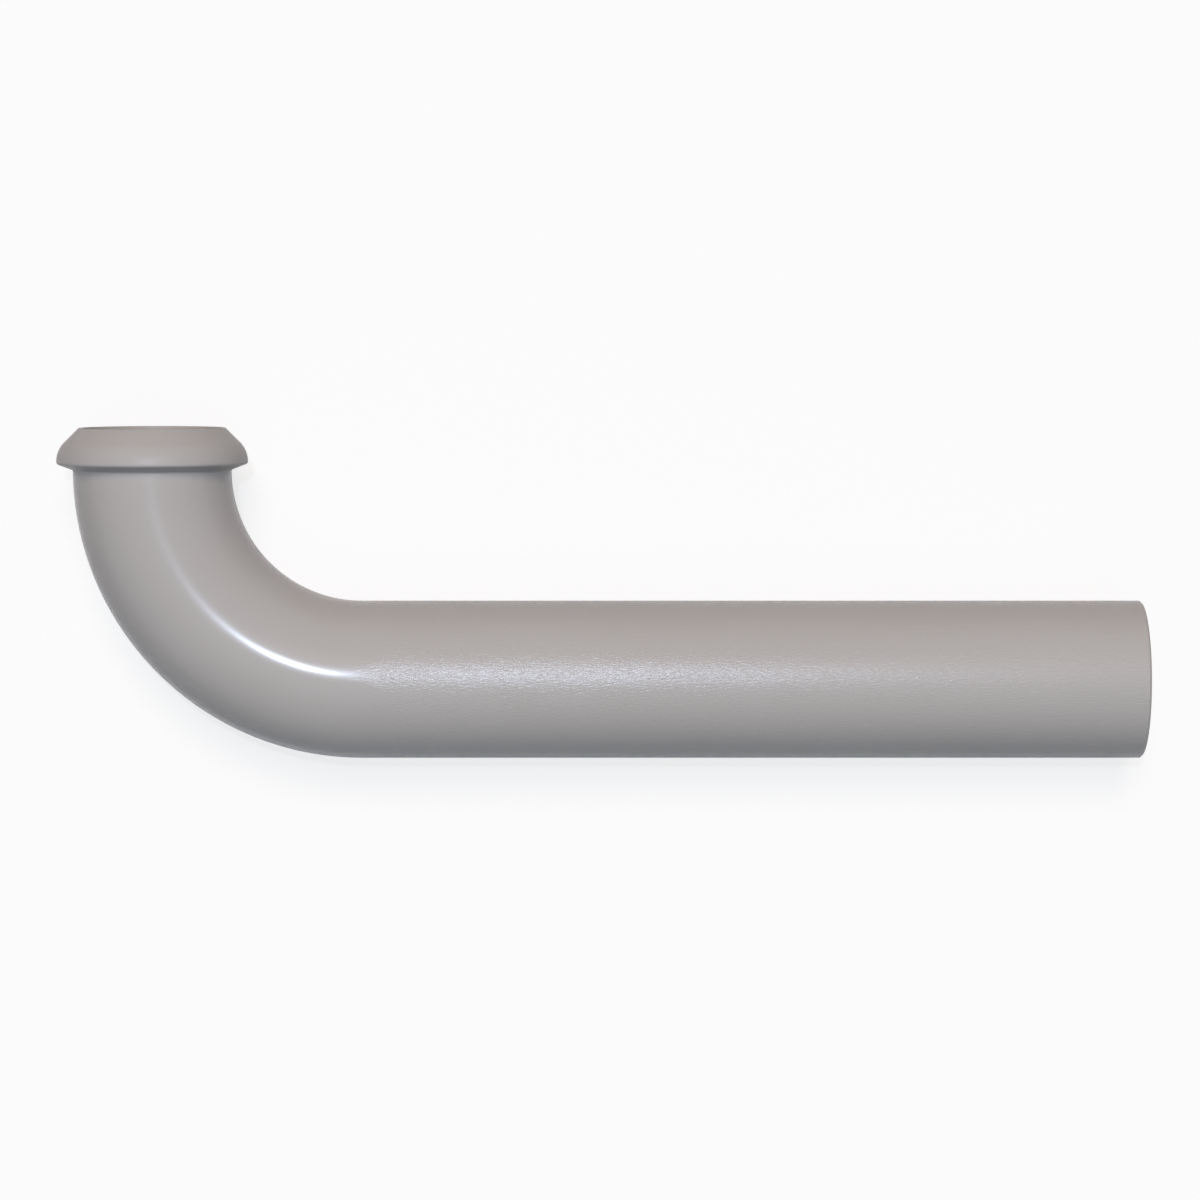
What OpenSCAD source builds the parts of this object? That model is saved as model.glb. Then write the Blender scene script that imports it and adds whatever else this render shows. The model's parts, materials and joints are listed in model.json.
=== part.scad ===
// Trap wall tube, moulded in one piece.
// Waste water enters through the collar, turns in the bend and leaves by the straight run,
// which slides into the fitting at the wall.
// The origin is the middle of the cut outlet end, +X points out of it, and the bend turns
// towards +Y. The tube lies as it rests on a flat surface: on the underside of the run and
// on the rim of the collar, so the bend is rolled a little about the axis of the run.

/* [Tube] */
// Outside diameter of the tube
tube_od = 38.1; // [34:0.1:42]
// Thickness of the wall of the tube
wall = 2.1; // [1.2:0.1:3]
// Length of the straight run, from the end of the bend to the cut outlet end
run_len = 188.8; // [80:0.2:400]
// Radius of the bend, to the middle of the tube
bend_r = 50.4; // [36:0.2:90]
// Straight neck between the bend and the root of the collar
neck_len = 0.4; // [0.4:0.1:40]

/* [Collar] */
// How far the rim of the collar stands proud of the tube
rim_proud = 3.95; // [3:0.05:8]
// Radius of the rounded edge of the rim
rim_round = 0.7; // [0.4:0.05:1.2]
// Slope of the shoulder that the coupling nut bears on, from square to the axis
shoulder_slope = 21; // [8:1:35]
// Radius of the fillet between the shoulder and the tube
root_fillet = 0.5; // [0.3:0.05:0.6]
// Radius of the convex part of the seat, above the rim
dome_r = 6.6; // [3:0.1:9]
// Slope of the ground seat around the mouth, from square to the axis
seat_slope = 45; // [35:1:55]

/* [Edges] */
// Width of the flat lip around the mouth
lip_w = 0.65; // [0.6:0.05:2]
// Radius of the two edges of the lip
lip_round = 0.2; // [0.1:0.05:0.3]
// Chamfer on the outside edge of the outlet end
outlet_chamfer = 0.5; // [0.2:0.05:0.6]
// Chamfer on the inside edge of the outlet end
outlet_break = 0.3; // [0.1:0.05:0.5]

/* [Hidden] */
$fn = 128;

right_angle = 90;
// How far a line or an arc dips under the arc that takes over from it, so that the two
// cross cleanly where they would only touch
dip = 0.001;
// How far a cutting shape reaches past the surface that it cuts through
overshoot = 1;

tube_r = tube_od / 2;
bore_r = tube_r - wall;
rim_r = tube_r + rim_proud;
mouth_r = bore_r + lip_w;

// Heights in the collar are measured along the inlet's axis from the root of the shoulder.
rim_mid_r = rim_r - rim_round;
dome_mid_r = rim_r - dome_r - dip;
rim_height = (rim_round + sin(shoulder_slope) * (rim_mid_r - tube_r)) / cos(shoulder_slope);
seat_height = (dome_r + sin(seat_slope) * (dome_mid_r - mouth_r)) / cos(seat_slope);
collar_height = rim_height + seat_height;

// The roll about the run's axis that brings the rim down to the level of the run's underside
rim_reach = bend_r + neck_len + rim_height;
rest_roll = atan2(rim_mid_r, rim_reach) - asin((tube_r - rim_round) / norm([rim_reach, rim_mid_r]));

// Direction in the plane of a profile, by its angle
function heading(angle) = [cos(angle), sin(angle)];

// The web between a corner and an arc that touches both of its sides, which leave the corner
// at the angles side_a and side_b. It reaches back past the corner by the arc's radius, so it
// can be taken off an edge or added in a corner.
module corner_web(corner, side_a, side_b, radius) {
    half = (side_b - side_a) / 2;
    inward = heading(side_a + half);
    middle = corner + radius / sin(half) * inward;
    touch = radius / tan(half);
    difference() {
        polygon([
            corner - radius * inward,
            corner + touch * heading(side_a),
            middle,
            corner + touch * heading(side_b)
        ]);
        translate(middle) circle(radius + dip);
    }
}

// A round bar along the tube's path: down the inlet, round the bend and along the run. The
// legs are the bend's own section carried straight on, so the three meet face to face.
module bar(radius, inlet_leg, outlet_leg) {
    translate([-run_len, bend_r, 0]) {
        rotate([right_angle, 0, 2 * right_angle])
            linear_extrude(inlet_leg) bend_section(radius);
        rotate_extrude(start = 2 * right_angle, angle = right_angle)
            bend_section(radius);
        translate([outlet_leg, 0, 0]) rotate([right_angle, 0, -right_angle])
            linear_extrude(outlet_leg) bend_section(radius);
    }
}

// Section of a bar, seen from the middle of the bend
module bend_section(radius) {
    translate([bend_r, 0]) circle(radius);
}

// Carries what is drawn about Z to the inlet's axis, with height 0 at the root of the shoulder
module on_inlet() {
    translate([-run_len - bend_r, bend_r + neck_len, 0]) rotate([-right_angle, 0, 0]) children();
}

// Carries what is drawn about Z to the run's axis, with height 0 at the outlet end
module on_outlet() {
    rotate([0, -right_angle, 0]) children();
}

// Half section of the collar, solid as far as its axis
module collar_section() {
    rim_middle = [rim_mid_r, rim_height];
    dome_middle = [dome_mid_r, rim_height];
    root = [tube_r, 0];
    lip_outer = [mouth_r, collar_height];
    fillet_limit = neck_len * tan((right_angle + shoulder_slope) / 2);
    difference() {
        union() {
            polygon([
                [0, 0],
                root,
                rim_middle + (rim_round - dip) * heading(shoulder_slope - right_angle),
                rim_middle,
                dome_middle + (dome_r - dip) * heading(right_angle - seat_slope),
                lip_outer,
                [0, collar_height]
            ]);
            translate(rim_middle) circle(rim_round);
            intersection() {
                translate(dome_middle) circle(dome_r);
                translate([bore_r, rim_height]) square([rim_r, seat_height]);
            }
            corner_web(root, -right_angle, shoulder_slope, min(root_fillet, fillet_limit));
        }
        corner_web(lip_outer, 2 * right_angle, 4 * right_angle - seat_slope, lip_round);
    }
}

// The outside of the tube, solid
module outside() {
    bar(tube_r, neck_len + rim_height, run_len);
    on_inlet() rotate_extrude() collar_section();
}

// What is hollow: the bore from the mouth to the outlet, with the rounded inner edge of the
// lip and the chamfer inside the outlet end
module waterway() {
    bar(bore_r, neck_len + collar_height + overshoot, run_len + overshoot);
    on_inlet() rotate_extrude() corner_web([bore_r, collar_height], -right_angle, 0, lip_round);
    on_outlet() translate([0, 0, -overshoot])
        cylinder(
            h = outlet_break + 2 * overshoot,
            r1 = bore_r + outlet_break + overshoot,
            r2 = bore_r - overshoot
        );
}

// What is cut away around the outlet end to leave its outside chamfer
module outlet_chamfer_ring() {
    on_outlet() rotate_extrude() polygon([
        [tube_r - outlet_chamfer - overshoot, -overshoot],
        [tube_r + overshoot, outlet_chamfer + overshoot],
        [tube_r + overshoot, -overshoot]
    ]);
}

module wall_tube() {
    color("#DBD5CE")
        rotate([rest_roll, 0, 0])
            difference() {
                outside();
                waterway();
                outlet_chamfer_ring();
            }
}

wall_tube();
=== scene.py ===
"""Looks of the trap wall tube: its moulded skin, its bore and its cut end, on a pale floor in soft light."""

import json
import math

import bpy
from mathutils import Matrix, Vector


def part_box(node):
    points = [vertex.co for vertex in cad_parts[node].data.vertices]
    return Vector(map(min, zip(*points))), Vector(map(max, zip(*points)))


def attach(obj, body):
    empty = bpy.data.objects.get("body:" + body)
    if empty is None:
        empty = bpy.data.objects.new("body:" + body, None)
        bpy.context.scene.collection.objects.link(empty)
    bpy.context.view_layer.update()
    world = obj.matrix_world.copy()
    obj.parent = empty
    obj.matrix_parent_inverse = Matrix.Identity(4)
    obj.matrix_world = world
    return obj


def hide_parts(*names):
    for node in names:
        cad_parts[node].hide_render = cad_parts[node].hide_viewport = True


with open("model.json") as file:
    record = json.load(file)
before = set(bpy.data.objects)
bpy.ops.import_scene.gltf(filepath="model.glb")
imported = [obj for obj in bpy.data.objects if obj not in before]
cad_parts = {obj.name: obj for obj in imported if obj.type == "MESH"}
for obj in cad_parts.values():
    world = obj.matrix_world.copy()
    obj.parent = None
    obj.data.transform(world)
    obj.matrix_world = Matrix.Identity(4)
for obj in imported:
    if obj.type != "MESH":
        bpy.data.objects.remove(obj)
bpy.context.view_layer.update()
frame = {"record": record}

MM = 0.001
FULL_TURN = 2 * math.pi
QUARTER_TURN = math.pi / 2

# Sizes of the tube, read from the frame
mounts = {mount["name"]: mount for mount in frame["record"]["mounts"]}
mouth = Vector(mounts["inlet_bore"]["pos_m"])
inlet_axis = Vector(mounts["inlet_bore"]["axis"])

tube_r = mounts["outlet_spigot"]["dims"]["r_mm"] * MM
bore_r = mounts["outlet_bore"]["dims"]["r_mm"] * MM
rim_r = mouth.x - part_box("wall_tube")[0].x
rest_roll = math.atan2(inlet_axis.z, inlet_axis.y)

# Small sizes of the edges and the collar, as the solid has them
outlet_chamfer = 0.5 * MM
outlet_break = 0.3 * MM
neck_len = 0.4 * MM
rim_round = 0.7 * MM
shoulder_slope = math.radians(21)
root_fillet = 0.5 * MM
dome_r = 6.6 * MM
seat_slope = math.radians(45)
lip_w = 0.65 * MM
lip_round = 0.2 * MM

run_len = mounts["outlet_bore"]["dims"]["length_mm"] * MM + outlet_break
bend_r = -mouth.x - run_len
bend_len = bend_r * QUARTER_TURN
collar_height = math.hypot(mouth.y, mouth.z) - bend_r - neck_len
collar_root = run_len + bend_len + neck_len

# What the solid leaves out: edges worn a little round, and the mould's parting line, a fine ridge
# in the plane of the two axes
edge_softness = 0.12 * MM
ridge_height = 0.04 * MM
ridge_width = 0.62 * MM

# How finely the tube is drawn: rings along it, points around it and steps in its small arcs
ring_step = 2 * MM
ring_margin = 0.4 * MM
points_around = 192
edge_steps = 5
rim_steps = 12
dome_steps = 20
weld_distance = 0.001 * MM


class Graph:
    """A node tree as it is drawn. Each call places a node, joins what goes in to it and gives back
    what comes out."""

    def __init__(self, tree):
        self.tree = tree

    def node(self, kind, inputs=None, **settings):
        made = self.tree.nodes.new(kind)
        for name, value in settings.items():
            setattr(made, name, value)
        for key, value in (inputs or {}).items():
            self.feed(made.inputs[key], value)
        return made

    def feed(self, socket, value):
        if isinstance(value, bpy.types.NodeSocket):
            self.tree.links.new(value, socket)
        else:
            socket.default_value = value

    def group(self, tree, inputs):
        return self.node("ShaderNodeGroup", inputs, node_tree=tree).outputs[0]

    def math(self, operation, *values):
        return self.node("ShaderNodeMath", dict(enumerate(values)), operation=operation).outputs[0]

    def add(self, a, b):
        return self.math("ADD", a, b)

    def subtract(self, a, b):
        return self.math("SUBTRACT", a, b)

    def multiply(self, a, b):
        return self.math("MULTIPLY", a, b)

    def divide(self, a, b):
        return self.math("DIVIDE", a, b)

    def between(self, value, low, high):
        return self.math("MINIMUM", self.math("MAXIMUM", value, low), high)

    def vector(self, x, y, z):
        return self.node("ShaderNodeCombineXYZ", {0: x, 1: y, 2: z}).outputs[0]

    def stretch(self, vector, scale):
        return self.node("ShaderNodeVectorMath", {0: vector, 1: scale}, operation="MULTIPLY").outputs[0]

    def noise(self, place, per_metre, detail=2.0):
        inputs = {"Vector": place, "Scale": per_metre, "Detail": detail}
        return self.node("ShaderNodeTexNoise", inputs).outputs[0]

    def swing(self, place, per_metre):
        """Noise that goes as far below 0 as above it."""
        return self.subtract(self.noise(place, per_metre), 0.5)

    def ease(self, value, start, end, low=0.0, high=1.0):
        """Goes smoothly from low to high as the value goes from start to end."""
        inputs = {"Value": value, "From Min": start, "From Max": end, "To Min": low, "To Max": high}
        return self.node("ShaderNodeMapRange", inputs, interpolation_type="SMOOTHSTEP").outputs[0]

    def blend_colours(self, factor, a, b, blend_type="MIX"):
        made = self.node("ShaderNodeMix", data_type="RGBA", blend_type=blend_type)
        sockets = {socket.identifier: socket for socket in made.inputs}
        self.feed(sockets["Factor_Float"], factor)
        self.feed(sockets["A_Color"], a)
        self.feed(sockets["B_Color"], b)
        return next(socket for socket in made.outputs if socket.identifier == "Result_Color")


def new_group(name, kind, inputs, outputs):
    """A node group with named sockets: its graph, what it is given and what it gives back."""
    tree = bpy.data.node_groups.new(name, kind)
    for socket_name, socket_type in inputs:
        tree.interface.new_socket(socket_name, in_out="INPUT", socket_type=socket_type)
    for socket_name, socket_type in outputs:
        tree.interface.new_socket(socket_name, in_out="OUTPUT", socket_type=socket_type)
    graph = Graph(tree)
    return graph, graph.node("NodeGroupInput").outputs, graph.node("NodeGroupOutput").inputs


# The wall's section. Its points are (radius, distance along the tube from the outlet end). Regions
# are whole numbers, and the margin tells one from the next.

SKIN, BORE, CUT = 0, 1, 2
region_margin = 0.5


def arc(middle, radius, start, end, steps):
    """Points of an arc, both ends included. Angle 0 is outwards and a quarter turn is along the tube."""
    turns = [start + (end - start) * step / steps for step in range(steps + 1)]
    return [middle + radius * Vector((math.cos(turn), math.sin(turn))) for turn in turns]


def rounded(before, corner, after, radius):
    """The arc that rounds a corner and touches the lines to the points before and after it."""
    to_before = (before - corner).normalized()
    to_after = (after - corner).normalized()
    half = to_before.angle(to_after) / 2
    middle = corner + (to_before + to_after).normalized() * radius / math.sin(half)
    first = corner + to_before * radius / math.tan(half) - middle
    last = corner + to_after * radius / math.tan(half) - middle
    start = math.atan2(first.y, first.x)
    turn = math.remainder(math.atan2(last.y, last.x) - start, FULL_TURN)
    return arc(middle, radius, start, start + turn, edge_steps)


def straight(start, end):
    """Points between two ends, a ring's step apart, with one close to each end of a long line."""
    length = (end - start).length
    count = max(round(length / ring_step), 1)
    shares = [number / count for number in range(1, count)]
    if len(shares) > 1:
        shares = [ring_margin / length, *shares, 1 - ring_margin / length]
    return [start.lerp(end, share) for share in shares]


def wall_outline():
    """The closed section, up the skin and back down the bore. Each stretch has the region that it is
    in, its points, the region of the straight line that follows, and if the parting line runs there."""
    rim_mid_r = rim_r - rim_round
    rise = rim_round + math.sin(shoulder_slope) * (rim_mid_r - tube_r)
    rim_at = collar_root + rise / math.cos(shoulder_slope)
    rim = arc(Vector((rim_mid_r, rim_at)), rim_round, shoulder_slope - QUARTER_TURN, 0, rim_steps)
    dome = arc(Vector((rim_r - dome_r, rim_at)), dome_r, 0, QUARTER_TURN - seat_slope, dome_steps)
    fillet = min(root_fillet, neck_len * math.tan((QUARTER_TURN + shoulder_slope) / 2))

    cut_inner = Vector((bore_r + outlet_break, 0))
    cut_outer = Vector((tube_r - outlet_chamfer, 0))
    skin_edge = Vector((tube_r, outlet_chamfer))
    root = Vector((tube_r, collar_root))
    lip_outer = Vector((bore_r + lip_w, collar_root + collar_height))
    lip_inner = Vector((bore_r, collar_root + collar_height))
    bore_edge = Vector((bore_r, outlet_break))
    return (
        (CUT, rounded(bore_edge, cut_inner, cut_outer, edge_softness), CUT, False),
        (CUT, rounded(cut_inner, cut_outer, skin_edge, edge_softness), CUT, False),
        (SKIN, rounded(cut_outer, skin_edge, root, edge_softness), SKIN, True),
        (SKIN, rounded(skin_edge, root, rim[0], fillet), SKIN, False),
        (SKIN, rim + dome[1:], SKIN, False),
        (SKIN, rounded(dome[-1], lip_outer, lip_inner, lip_round), SKIN, False),
        (SKIN, rounded(lip_outer, lip_inner, bore_edge, lip_round), BORE, False),
        (BORE, rounded(lip_inner, bore_edge, cut_inner, edge_softness), BORE, False),
    )


def section_mesh():
    """The section's points in order, with the region that starts at each and where the ridge runs."""
    stretches = wall_outline()
    points, regions, ridges = [], [], []
    for number, (region, line, next_region, on_ridge) in enumerate(stretches):
        following = stretches[(number + 1) % len(stretches)][1]
        gap = straight(line[-1], following[0])
        points += line + gap
        regions += [region] * (len(line) - 1) + [next_region] * (len(gap) + 1)
        ridges += [0.0] * len(line) + [float(on_ridge)] * len(gap)
    mesh = bpy.data.meshes.new("wall_section")
    mesh.from_pydata([(point.y, point.x, 0) for point in points], [], [])
    mesh.attributes.new("region", "INT", "POINT").data.foreach_set("value", regions)
    mesh.attributes.new("ridge", "FLOAT", "POINT").data.foreach_set("value", ridges)
    return mesh


def tube_tree():
    """Geometry nodes that turn a wall section round the tube's axis and bend the tube.
    The section's X is the distance along the tube and its Y the radius."""
    graph, given, result = new_group(
        "section_to_bent_tube",
        "GeometryNodeTree",
        (
            ("Section", "NodeSocketGeometry"),
            ("Points Around", "NodeSocketInt"),
            ("Run Length", "NodeSocketFloat"),
            ("Bend Radius", "NodeSocketFloat"),
            ("Rest Roll", "NodeSocketFloat"),
            ("Ridge Height", "NodeSocketFloat"),
            ("Ridge Width", "NodeSocketFloat"),
            ("Weld Distance", "NodeSocketFloat"),
            ("Skin", "NodeSocketMaterial"),
            ("Bore", "NodeSocketMaterial"),
            ("Cut End", "NodeSocketMaterial"),
        ),
        (("Tube", "NodeSocketGeometry"),),
    )
    section, around = given["Section"], given["Points Around"]
    rows = graph.node("GeometryNodeAttributeDomainSize", {"Geometry": section}).outputs["Point Count"]
    columns = graph.add(around, 1)
    grid = graph.node("GeometryNodeMeshGrid", {"Vertices X": graph.add(rows, 1), "Vertices Y": columns})
    index = graph.node("GeometryNodeInputIndex").outputs[0]

    def attribute(name, kind):
        return graph.node("GeometryNodeInputNamedAttribute", {"Name": name}, data_type=kind).outputs[0]

    def from_section(kind, value, row):
        wrapped = graph.math("MODULO", row, rows)
        inputs = {"Geometry": section, "Value": value, "Index": wrapped}
        return graph.node("GeometryNodeSampleIndex", inputs, data_type=kind).outputs[0]

    def store(shape, name, kind, domain, value):
        inputs = {"Geometry": shape, "Name": name, "Value": value}
        kept = graph.node("GeometryNodeStoreNamedAttribute", inputs, data_type=kind, domain=domain)
        return kept.outputs[0]

    # Each point of the grid takes its row from the section and its column as a turn about the axis
    row = graph.math("FLOOR", graph.divide(index, columns))
    column = graph.subtract(index, graph.multiply(row, columns))
    turn = graph.divide(graph.multiply(column, FULL_TURN), around)
    place = graph.node("GeometryNodeInputPosition").outputs[0]
    place = graph.node("ShaderNodeSeparateXYZ", {0: from_section("FLOAT_VECTOR", place, row)}).outputs
    along, radius = place["X"], place["Y"]

    # The parting line, on both sides of the tube where the plane of the two axes cuts the skin
    ridge = from_section("FLOAT", attribute("ridge", "FLOAT"), row)
    off_plane = graph.math("ABSOLUTE", graph.multiply(graph.math("SINE", turn), radius))
    ridge_share = graph.math("MAXIMUM", graph.subtract(1, graph.divide(off_plane, given["Ridge Width"])), 0)
    lift = graph.multiply(graph.multiply(ridge, ridge_share), given["Ridge Height"])
    radius = graph.add(radius, lift)
    inward = graph.multiply(radius, graph.math("COSINE", turn))
    sideways = graph.multiply(radius, graph.math("SINE", turn))

    # Along the run, round the bend and up the neck
    run_length, bend_radius = given["Run Length"], given["Bend Radius"]
    past_run = graph.subtract(along, run_length)
    quarter = graph.multiply(bend_radius, QUARTER_TURN)
    in_bend = graph.between(past_run, 0, quarter)
    past_bend = graph.math("MAXIMUM", graph.subtract(past_run, quarter), 0)
    angle = graph.divide(in_bend, bend_radius)
    from_middle = graph.subtract(bend_radius, inward)
    back = graph.add(
        graph.math("MINIMUM", along, run_length),
        graph.multiply(from_middle, graph.math("SINE", angle)),
    )
    up = graph.add(
        graph.subtract(bend_radius, graph.multiply(from_middle, graph.math("COSINE", angle))),
        past_bend,
    )
    bent = graph.vector(graph.multiply(back, -1), up, sideways)
    lying = graph.node(
        "ShaderNodeVectorRotate", {"Vector": bent, "Angle": given["Rest Roll"]}, rotation_type="X_AXIS"
    ).outputs[0]

    # The grid's first and last rows and columns meet, so they are welded. Each face keeps its region.
    unbent = graph.vector(along, inward, sideways)
    face_row = graph.math("FLOOR", graph.divide(index, around))
    region = from_section("INT", attribute("region", "INT"), face_row)
    shape = store(grid.outputs["Mesh"], "unbent", "FLOAT_VECTOR", "POINT", unbent)
    shape = store(shape, "region", "INT", "FACE", region)
    shape = graph.node("GeometryNodeSetPosition", {"Geometry": shape, "Position": lying}).outputs[0]
    inputs = {"Geometry": shape, "Distance": given["Weld Distance"]}
    shape = graph.node("GeometryNodeMergeByDistance", inputs).outputs[0]
    shape = graph.node("GeometryNodeSetShadeSmooth", {"Geometry": shape}).outputs[0]
    shape = graph.node("GeometryNodeRealizeInstances", {"Geometry": shape}).outputs[0]
    for code, name in ((SKIN, "Skin"), (BORE, "Bore"), (CUT, "Cut End")):
        chosen = graph.math("COMPARE", attribute("region", "INT"), code, region_margin)
        inputs = {"Geometry": shape, "Selection": chosen, "Material": given[name]}
        shape = graph.node("GeometryNodeSetMaterial", inputs).outputs[0]
    graph.feed(result["Tube"], shape)
    return graph.tree


# Materials. Patterns follow the tube: their place is the point's place before the tube was bent, as
# the distance along it and then the two distances from its axis. Noise has its scale per metre, and
# depths are in metres.

WHITE = (1, 1, 1, 1)
skin_colour = (0.463, 0.447, 0.432, 1)
bore_colour = (0.445, 0.432, 0.412, 1)
cut_colour = (0.482, 0.468, 0.450, 1)
deeper_tint = (0.90, 0.885, 0.865, 1)
plastic_ior = 1.49

# Where the skin's finish changes, round the end of the run and at the root of the collar
bend_finish = (run_len - 12 * MM, run_len + 8 * MM)
collar_finish = (collar_root - 1.5 * MM, collar_root + 0.5 * MM)

# Roughness of the skin on the run, and what each place adds to it
run_roughness = 0.25
bend_roughness = -0.05
collar_roughness = 0.22
mark_roughness = 0.06
patch_roughness = 0.05

# The skin's texture: a mould's grain, a slow wave in the wall, and on the run fine lines drawn along it
grain_scale = 1500.0
grain_depth = 1.8e-5
bend_grain_depth = 2.0e-6
wave_scale = 220.0
wave_depth = 5.0e-6
line_scale = 3500.0
line_depth = 7.5e-5
line_stretch = (0.2, 1, 1)
mark_amount = 0.5
mark_depth = 1.0e-6

# The bore's finish, with the rings that polishing leaves in it
bore_roughness = 0.44
bore_patch_roughness = 0.08
bore_grain_depth = 4.0e-6
ring_depth = 1.5e-6

# The cut end's finish, with the saw's marks
cut_roughness = 0.46
cut_grain_depth = 4.0e-6
saw_roughness = 0.12
saw_depth = 6.0e-6


def moulded_grain():
    """Fine unevenness that the mould leaves. Height is in metres."""
    graph, given, result = new_group(
        "moulded_grain",
        "ShaderNodeTree",
        (
            ("Place", "NodeSocketVector"),
            ("Grains Per Metre", "NodeSocketFloat"),
            ("Depth", "NodeSocketFloat"),
        ),
        (("Height", "NodeSocketFloat"),),
    )
    grains = graph.noise(given["Place"], given["Grains Per Metre"], detail=3.0)
    graph.feed(result["Height"], graph.multiply(grains, given["Depth"]))
    return graph.tree


def colour_drift():
    """Slow change of the plastic's colour along the tube."""
    graph, given, result = new_group(
        "colour_drift",
        "ShaderNodeTree",
        (
            ("Place", "NodeSocketVector"),
            ("Colour", "NodeSocketColor"),
            ("Amount", "NodeSocketFloat"),
        ),
        (("Colour", "NodeSocketColor"),),
    )
    clouds = graph.ease(graph.noise(given["Place"], per_metre=28.0), start=0.35, end=0.65)
    bands = graph.noise(graph.stretch(given["Place"], scale=(1, 2.2, 2.2)), per_metre=11.0)
    deeper = graph.blend_colours(1.0, given["Colour"], deeper_tint, blend_type="MULTIPLY")
    share = graph.multiply(graph.multiply(clouds, bands), given["Amount"])
    graph.feed(result["Colour"], graph.blend_colours(share, given["Colour"], deeper))
    return graph.tree


def handling_marks():
    """Faint rubbed lines along the tube, from sliding in and out of its fitting."""
    graph, given, result = new_group(
        "handling_marks",
        "ShaderNodeTree",
        (
            ("Place", "NodeSocketVector"),
            ("Amount", "NodeSocketFloat"),
        ),
        (("Mask", "NodeSocketFloat"),),
    )
    lines = graph.noise(graph.stretch(given["Place"], scale=(0.03, 1, 1)), per_metre=900.0)
    patches = graph.noise(given["Place"], per_metre=45.0)
    rubbed = graph.multiply(
        graph.ease(lines, start=0.60, end=0.72),
        graph.ease(patches, start=0.50, end=0.66),
    )
    graph.feed(result["Mask"], graph.multiply(rubbed, given["Amount"]))
    return graph.tree


GRAIN = moulded_grain()
DRIFT = colour_drift()
MARKS = handling_marks()


def plastic(name, colour, drift, specular):
    """A material of the tube's plastic: the material, its graph, its shader and the patterns' place."""
    material = bpy.data.materials.new(name)
    material.use_nodes = True
    material.diffuse_color = colour
    graph = Graph(material.node_tree)
    shader = material.node_tree.nodes["Principled BSDF"]
    shader.inputs["IOR"].default_value = plastic_ior
    shader.inputs["Specular IOR Level"].default_value = specular
    place = graph.node("ShaderNodeAttribute", attribute_name="unbent").outputs["Vector"]
    tinted = graph.group(DRIFT, {"Place": place, "Colour": colour, "Amount": drift})
    graph.feed(shader.inputs["Base Color"], tinted)
    return material, graph, shader, place


def grain_height(graph, place, per_metre, depth):
    return graph.group(GRAIN, {"Place": place, "Grains Per Metre": per_metre, "Depth": depth})


def rise_and_fall(graph, shader, height):
    """Bends the light on the surface by a height in metres."""
    bump = graph.node("ShaderNodeBump", {"Strength": 1.0, "Distance": 1.0, "Height": height})
    graph.feed(shader.inputs["Normal"], bump.outputs["Normal"])


def skin_plastic():
    """Moulded skin: satin on the run, glossier round the bend and duller on the collar."""
    material, graph, shader, place = plastic("moulded_skin", skin_colour, drift=0.30, specular=0.5)
    along = graph.node("ShaderNodeSeparateXYZ", {0: place}).outputs["X"]
    on_bend = graph.ease(along, *bend_finish)
    on_collar = graph.ease(along, *collar_finish)
    rubbed = graph.group(MARKS, {"Place": place, "Amount": mark_amount})
    patches = graph.swing(place, per_metre=60.0)
    roughness = graph.add(run_roughness, graph.multiply(on_bend, bend_roughness))
    roughness = graph.add(roughness, graph.multiply(on_collar, collar_roughness))
    roughness = graph.add(roughness, graph.multiply(rubbed, mark_roughness))
    roughness = graph.add(roughness, graph.multiply(patches, patch_roughness))
    graph.feed(shader.inputs["Roughness"], roughness)
    grain = grain_height(graph, place, grain_scale, graph.ease(on_bend, 0, 1, grain_depth, bend_grain_depth))
    wave = grain_height(graph, place, wave_scale, wave_depth)
    lines = graph.noise(graph.stretch(place, line_stretch), line_scale)
    lines = graph.multiply(lines, graph.ease(on_bend, 0, 1, line_depth, 0.0))
    height = graph.add(graph.add(grain, wave), lines)
    rise_and_fall(graph, shader, graph.subtract(height, graph.multiply(rubbed, mark_depth)))
    return material


def bore_plastic():
    """The inside of the wall, off the mould's core: duller, with faint rings from its polishing."""
    material, graph, shader, place = plastic("bore_skin", bore_colour, drift=0.45, specular=0.4)
    patches = graph.multiply(graph.swing(place, per_metre=70.0), bore_patch_roughness)
    graph.feed(shader.inputs["Roughness"], graph.add(bore_roughness, patches))
    rings = graph.noise(graph.stretch(place, scale=(1, 0.04, 0.04)), per_metre=1400.0)
    grain = grain_height(graph, place, per_metre=1100.0, depth=bore_grain_depth)
    rise_and_fall(graph, shader, graph.add(grain, graph.multiply(rings, ring_depth)))
    return material


def cut_plastic():
    """The outlet's cut end, with the fine marks of a saw across the wall."""
    material, graph, shader, place = plastic("cut_end", cut_colour, drift=0.20, specular=0.4)
    saw = graph.noise(graph.stretch(place, scale=(0.2, 1, 0.02)), per_metre=2600.0)
    graph.feed(shader.inputs["Roughness"], graph.add(cut_roughness, graph.multiply(saw, saw_roughness)))
    grain = grain_height(graph, place, per_metre=2400.0, depth=cut_grain_depth)
    rise_and_fall(graph, shader, graph.add(grain, graph.multiply(saw, saw_depth)))
    return material


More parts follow.
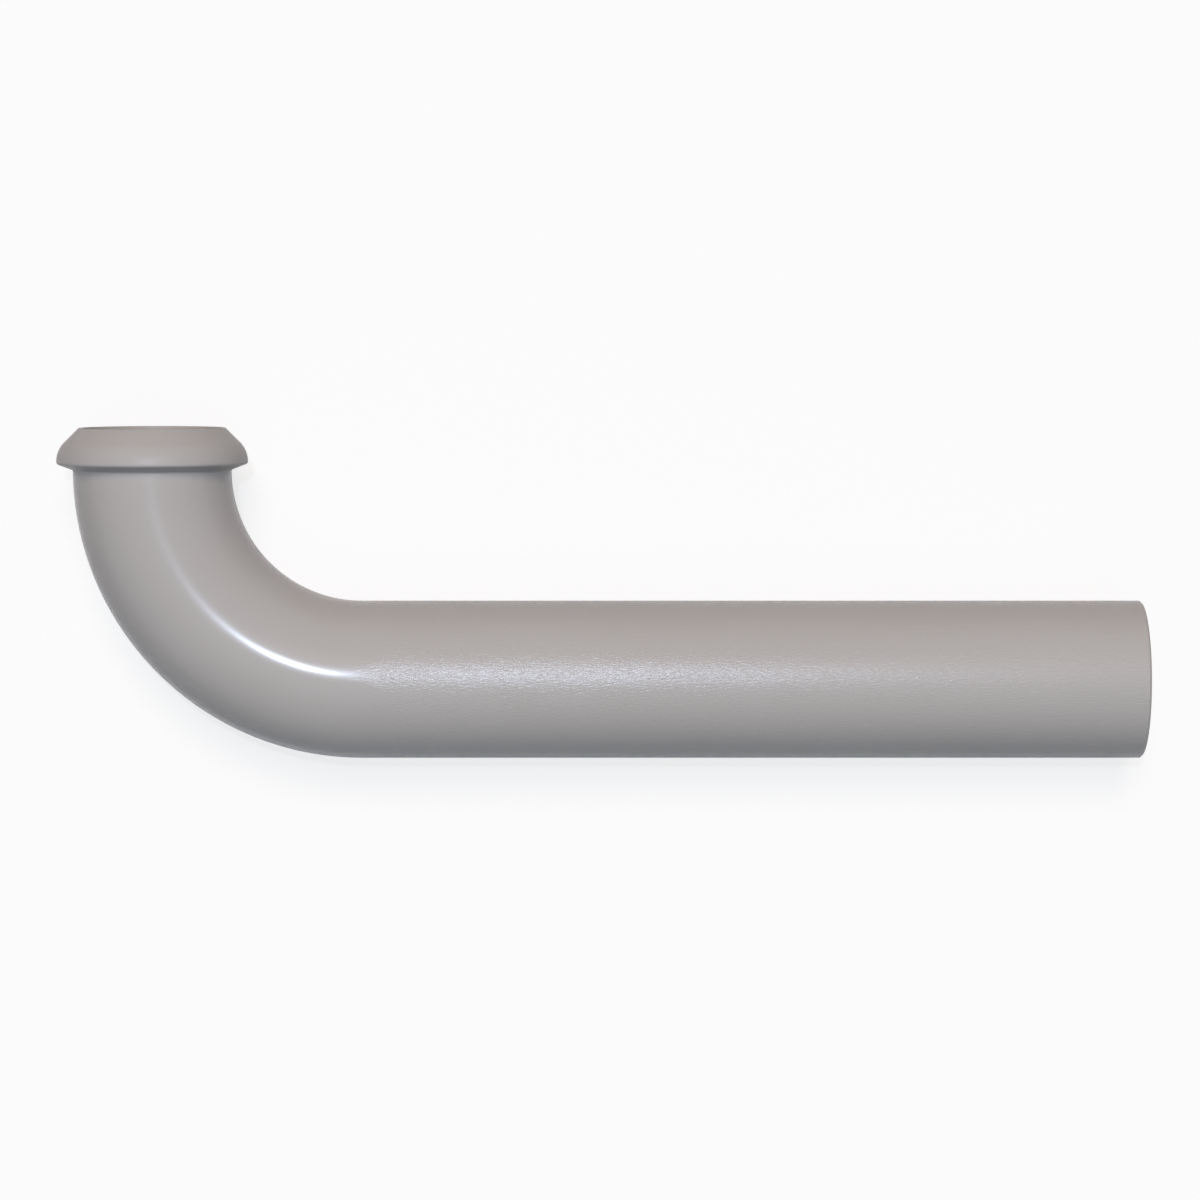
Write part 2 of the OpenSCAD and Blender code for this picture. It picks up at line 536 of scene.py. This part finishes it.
def wall_tube():
    """The tube as one mesh, turned and bent from its section."""
    source = bpy.data.objects.new("wall_section", section_mesh())
    bpy.context.scene.collection.objects.link(source)
    tree = tube_tree()
    modifier = source.modifiers.new("tube", "NODES")
    modifier.node_group = tree
    values = {
        "Points Around": points_around,
        "Run Length": run_len,
        "Bend Radius": bend_r,
        "Rest Roll": rest_roll,
        "Ridge Height": ridge_height,
        "Ridge Width": ridge_width,
        "Weld Distance": weld_distance,
        "Skin": skin_plastic(),
        "Bore": bore_plastic(),
        "Cut End": cut_plastic(),
    }
    for socket in tree.interface.items_tree:
        if socket.name in values:
            modifier[socket.identifier] = values[socket.name]
    evaluated = source.evaluated_get(bpy.context.evaluated_depsgraph_get())
    mesh = bpy.data.meshes.new_from_object(evaluated)
    mesh.name = "moulded_tube"
    mesh.attributes.remove(mesh.attributes["region"])
    bpy.data.objects.remove(source)
    piece = bpy.data.objects.new("moulded_tube", mesh)
    bpy.context.scene.collection.objects.link(piece)
    return piece


tube = wall_tube()
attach(tube, "root")
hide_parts("wall_tube")


# Floor, world, lamps and camera. The camera looks straight down on the floor that the tube lies on,
# so the picture's right is +X and its up is +Y.

floor_size = 6.0
floor_glow = 0.80
floor_bounce = 0.12
ambient = 0.03


def seen_directly(graph):
    """1 for what the camera sees, also in a reflection or through glass, and 0 for other light."""
    path = graph.node("ShaderNodeLightPath").outputs
    seen = graph.math("MAXIMUM", path["Is Camera Ray"], path["Is Glossy Ray"])
    return graph.math("MAXIMUM", seen, path["Is Transmission Ray"])


def pale_floor():
    """A white floor that keeps the tube's soft shadow, and throws little light back on the tube.
    Part of its white is a glow of its own, for the camera and through glass. A gloss sees it lit."""
    material = bpy.data.materials.new("pale_floor")
    material.use_nodes = True
    nodes = material.node_tree.nodes
    nodes.clear()
    graph = Graph(material.node_tree)
    path = graph.node("ShaderNodeLightPath").outputs
    glow_share = graph.math("MAXIMUM", path["Is Camera Ray"], path["Is Transmission Ray"])
    glow_strength = graph.multiply(glow_share, floor_glow)
    white = graph.ease(seen_directly(graph), 0, 1, floor_bounce, graph.subtract(1.0, glow_strength))
    lit = graph.node("ShaderNodeBsdfDiffuse", {"Color": white})
    glow = graph.node("ShaderNodeEmission", {"Color": WHITE, "Strength": glow_strength})
    both = graph.node("ShaderNodeAddShader", {0: lit.outputs[0], 1: glow.outputs[0]})
    graph.node("ShaderNodeOutputMaterial", {"Surface": both.outputs[0]})
    half = floor_size / 2
    corners = ((-half, -half), (half, -half), (half, half), (-half, half))
    mesh = bpy.data.meshes.new("floor")
    mesh.from_pydata([(x, y, -tube_r) for x, y in corners], [], [(0, 1, 2, 3)])
    mesh.materials.append(material)
    floor = bpy.data.objects.new("floor", mesh)
    bpy.context.scene.collection.objects.link(floor)


def pale_world():
    """White all round for the camera and in reflections, and a faint light on everything else."""
    world = bpy.data.worlds.new("studio")
    world.use_nodes = True
    nodes = world.node_tree.nodes
    nodes.clear()
    graph = Graph(world.node_tree)
    strength = graph.ease(seen_directly(graph), 0, 1, ambient, 1.0)
    sky = graph.node("ShaderNodeBackground", {"Color": WHITE, "Strength": strength})
    graph.node("ShaderNodeOutputWorld", {"Surface": sky.outputs[0]})
    bpy.context.scene.world = world


# Lamps. A lamp's light is its colour times its strength. For a sun that is how bright a white surface
# renders that faces it, and for the area lamp it is in watts.

sun_spread = math.radians(25)
warm_sun_tilt = math.radians(22)
warm_sun_light = (0.627, 0.531, 0.468)
cool_sun_tilt = math.radians(-20)
cool_sun_light = (0.06, 0.096, 0.120)

glint_light = (4.1, 4.8, 6.0)
glint_size = 40 * MM
glint_from = Vector((-0.1815, 0.187, 1.42))
glint_at = Vector((-0.190, 0.010, tube_r))


def place_lamp(name, kind, light, towards, place=Vector(), **settings):
    """A lamp at a place. Towards is the direction from what it lights to the lamp."""
    lamp = bpy.data.lights.new(name, kind)
    lamp.energy = max(light)
    lamp.color = [share / lamp.energy for share in light]
    for key, value in settings.items():
        setattr(lamp, key, value)
    holder = bpy.data.objects.new(name, lamp)
    turned = towards.to_track_quat("Z", "Y").to_matrix().to_4x4()
    holder.matrix_world = Matrix.Translation(place) @ turned
    bpy.context.scene.collection.objects.link(holder)
    return holder


def soft_sun(name, tilt, brightness):
    """A wide soft lamp far off, tilted from straight above towards the top of the picture. It
    leaves no glint."""
    towards = Vector((0, math.sin(tilt), math.cos(tilt)))
    light = [math.pi * share for share in brightness]
    sun = place_lamp(name, "SUN", light, towards, angle=sun_spread)
    sun.visible_glossy = False


pale_floor()
pale_world()
soft_sun("warm_sun", warm_sun_tilt, warm_sun_light)
soft_sun("cool_sun", cool_sun_tilt, cool_sun_light)
place_lamp(
    "glint_lamp", "AREA", glint_light, glint_from - glint_at, glint_from, shape="DISK", size=glint_size
)

camera_aim = Vector((-0.1311, 0.0192, 0.0014))
camera_distance = 0.8784
camera_lens = 108.81
camera_sensor = 36


def overhead_camera():
    data = bpy.data.cameras.new("camera")
    data.lens = camera_lens
    data.sensor_width = camera_sensor
    camera = bpy.data.objects.new("camera", data)
    camera.location = camera_aim + Vector((0, 0, camera_distance))
    bpy.context.scene.collection.objects.link(camera)
    bpy.context.scene.camera = camera


overhead_camera()
bpy.context.scene.view_settings.view_transform = "Standard"
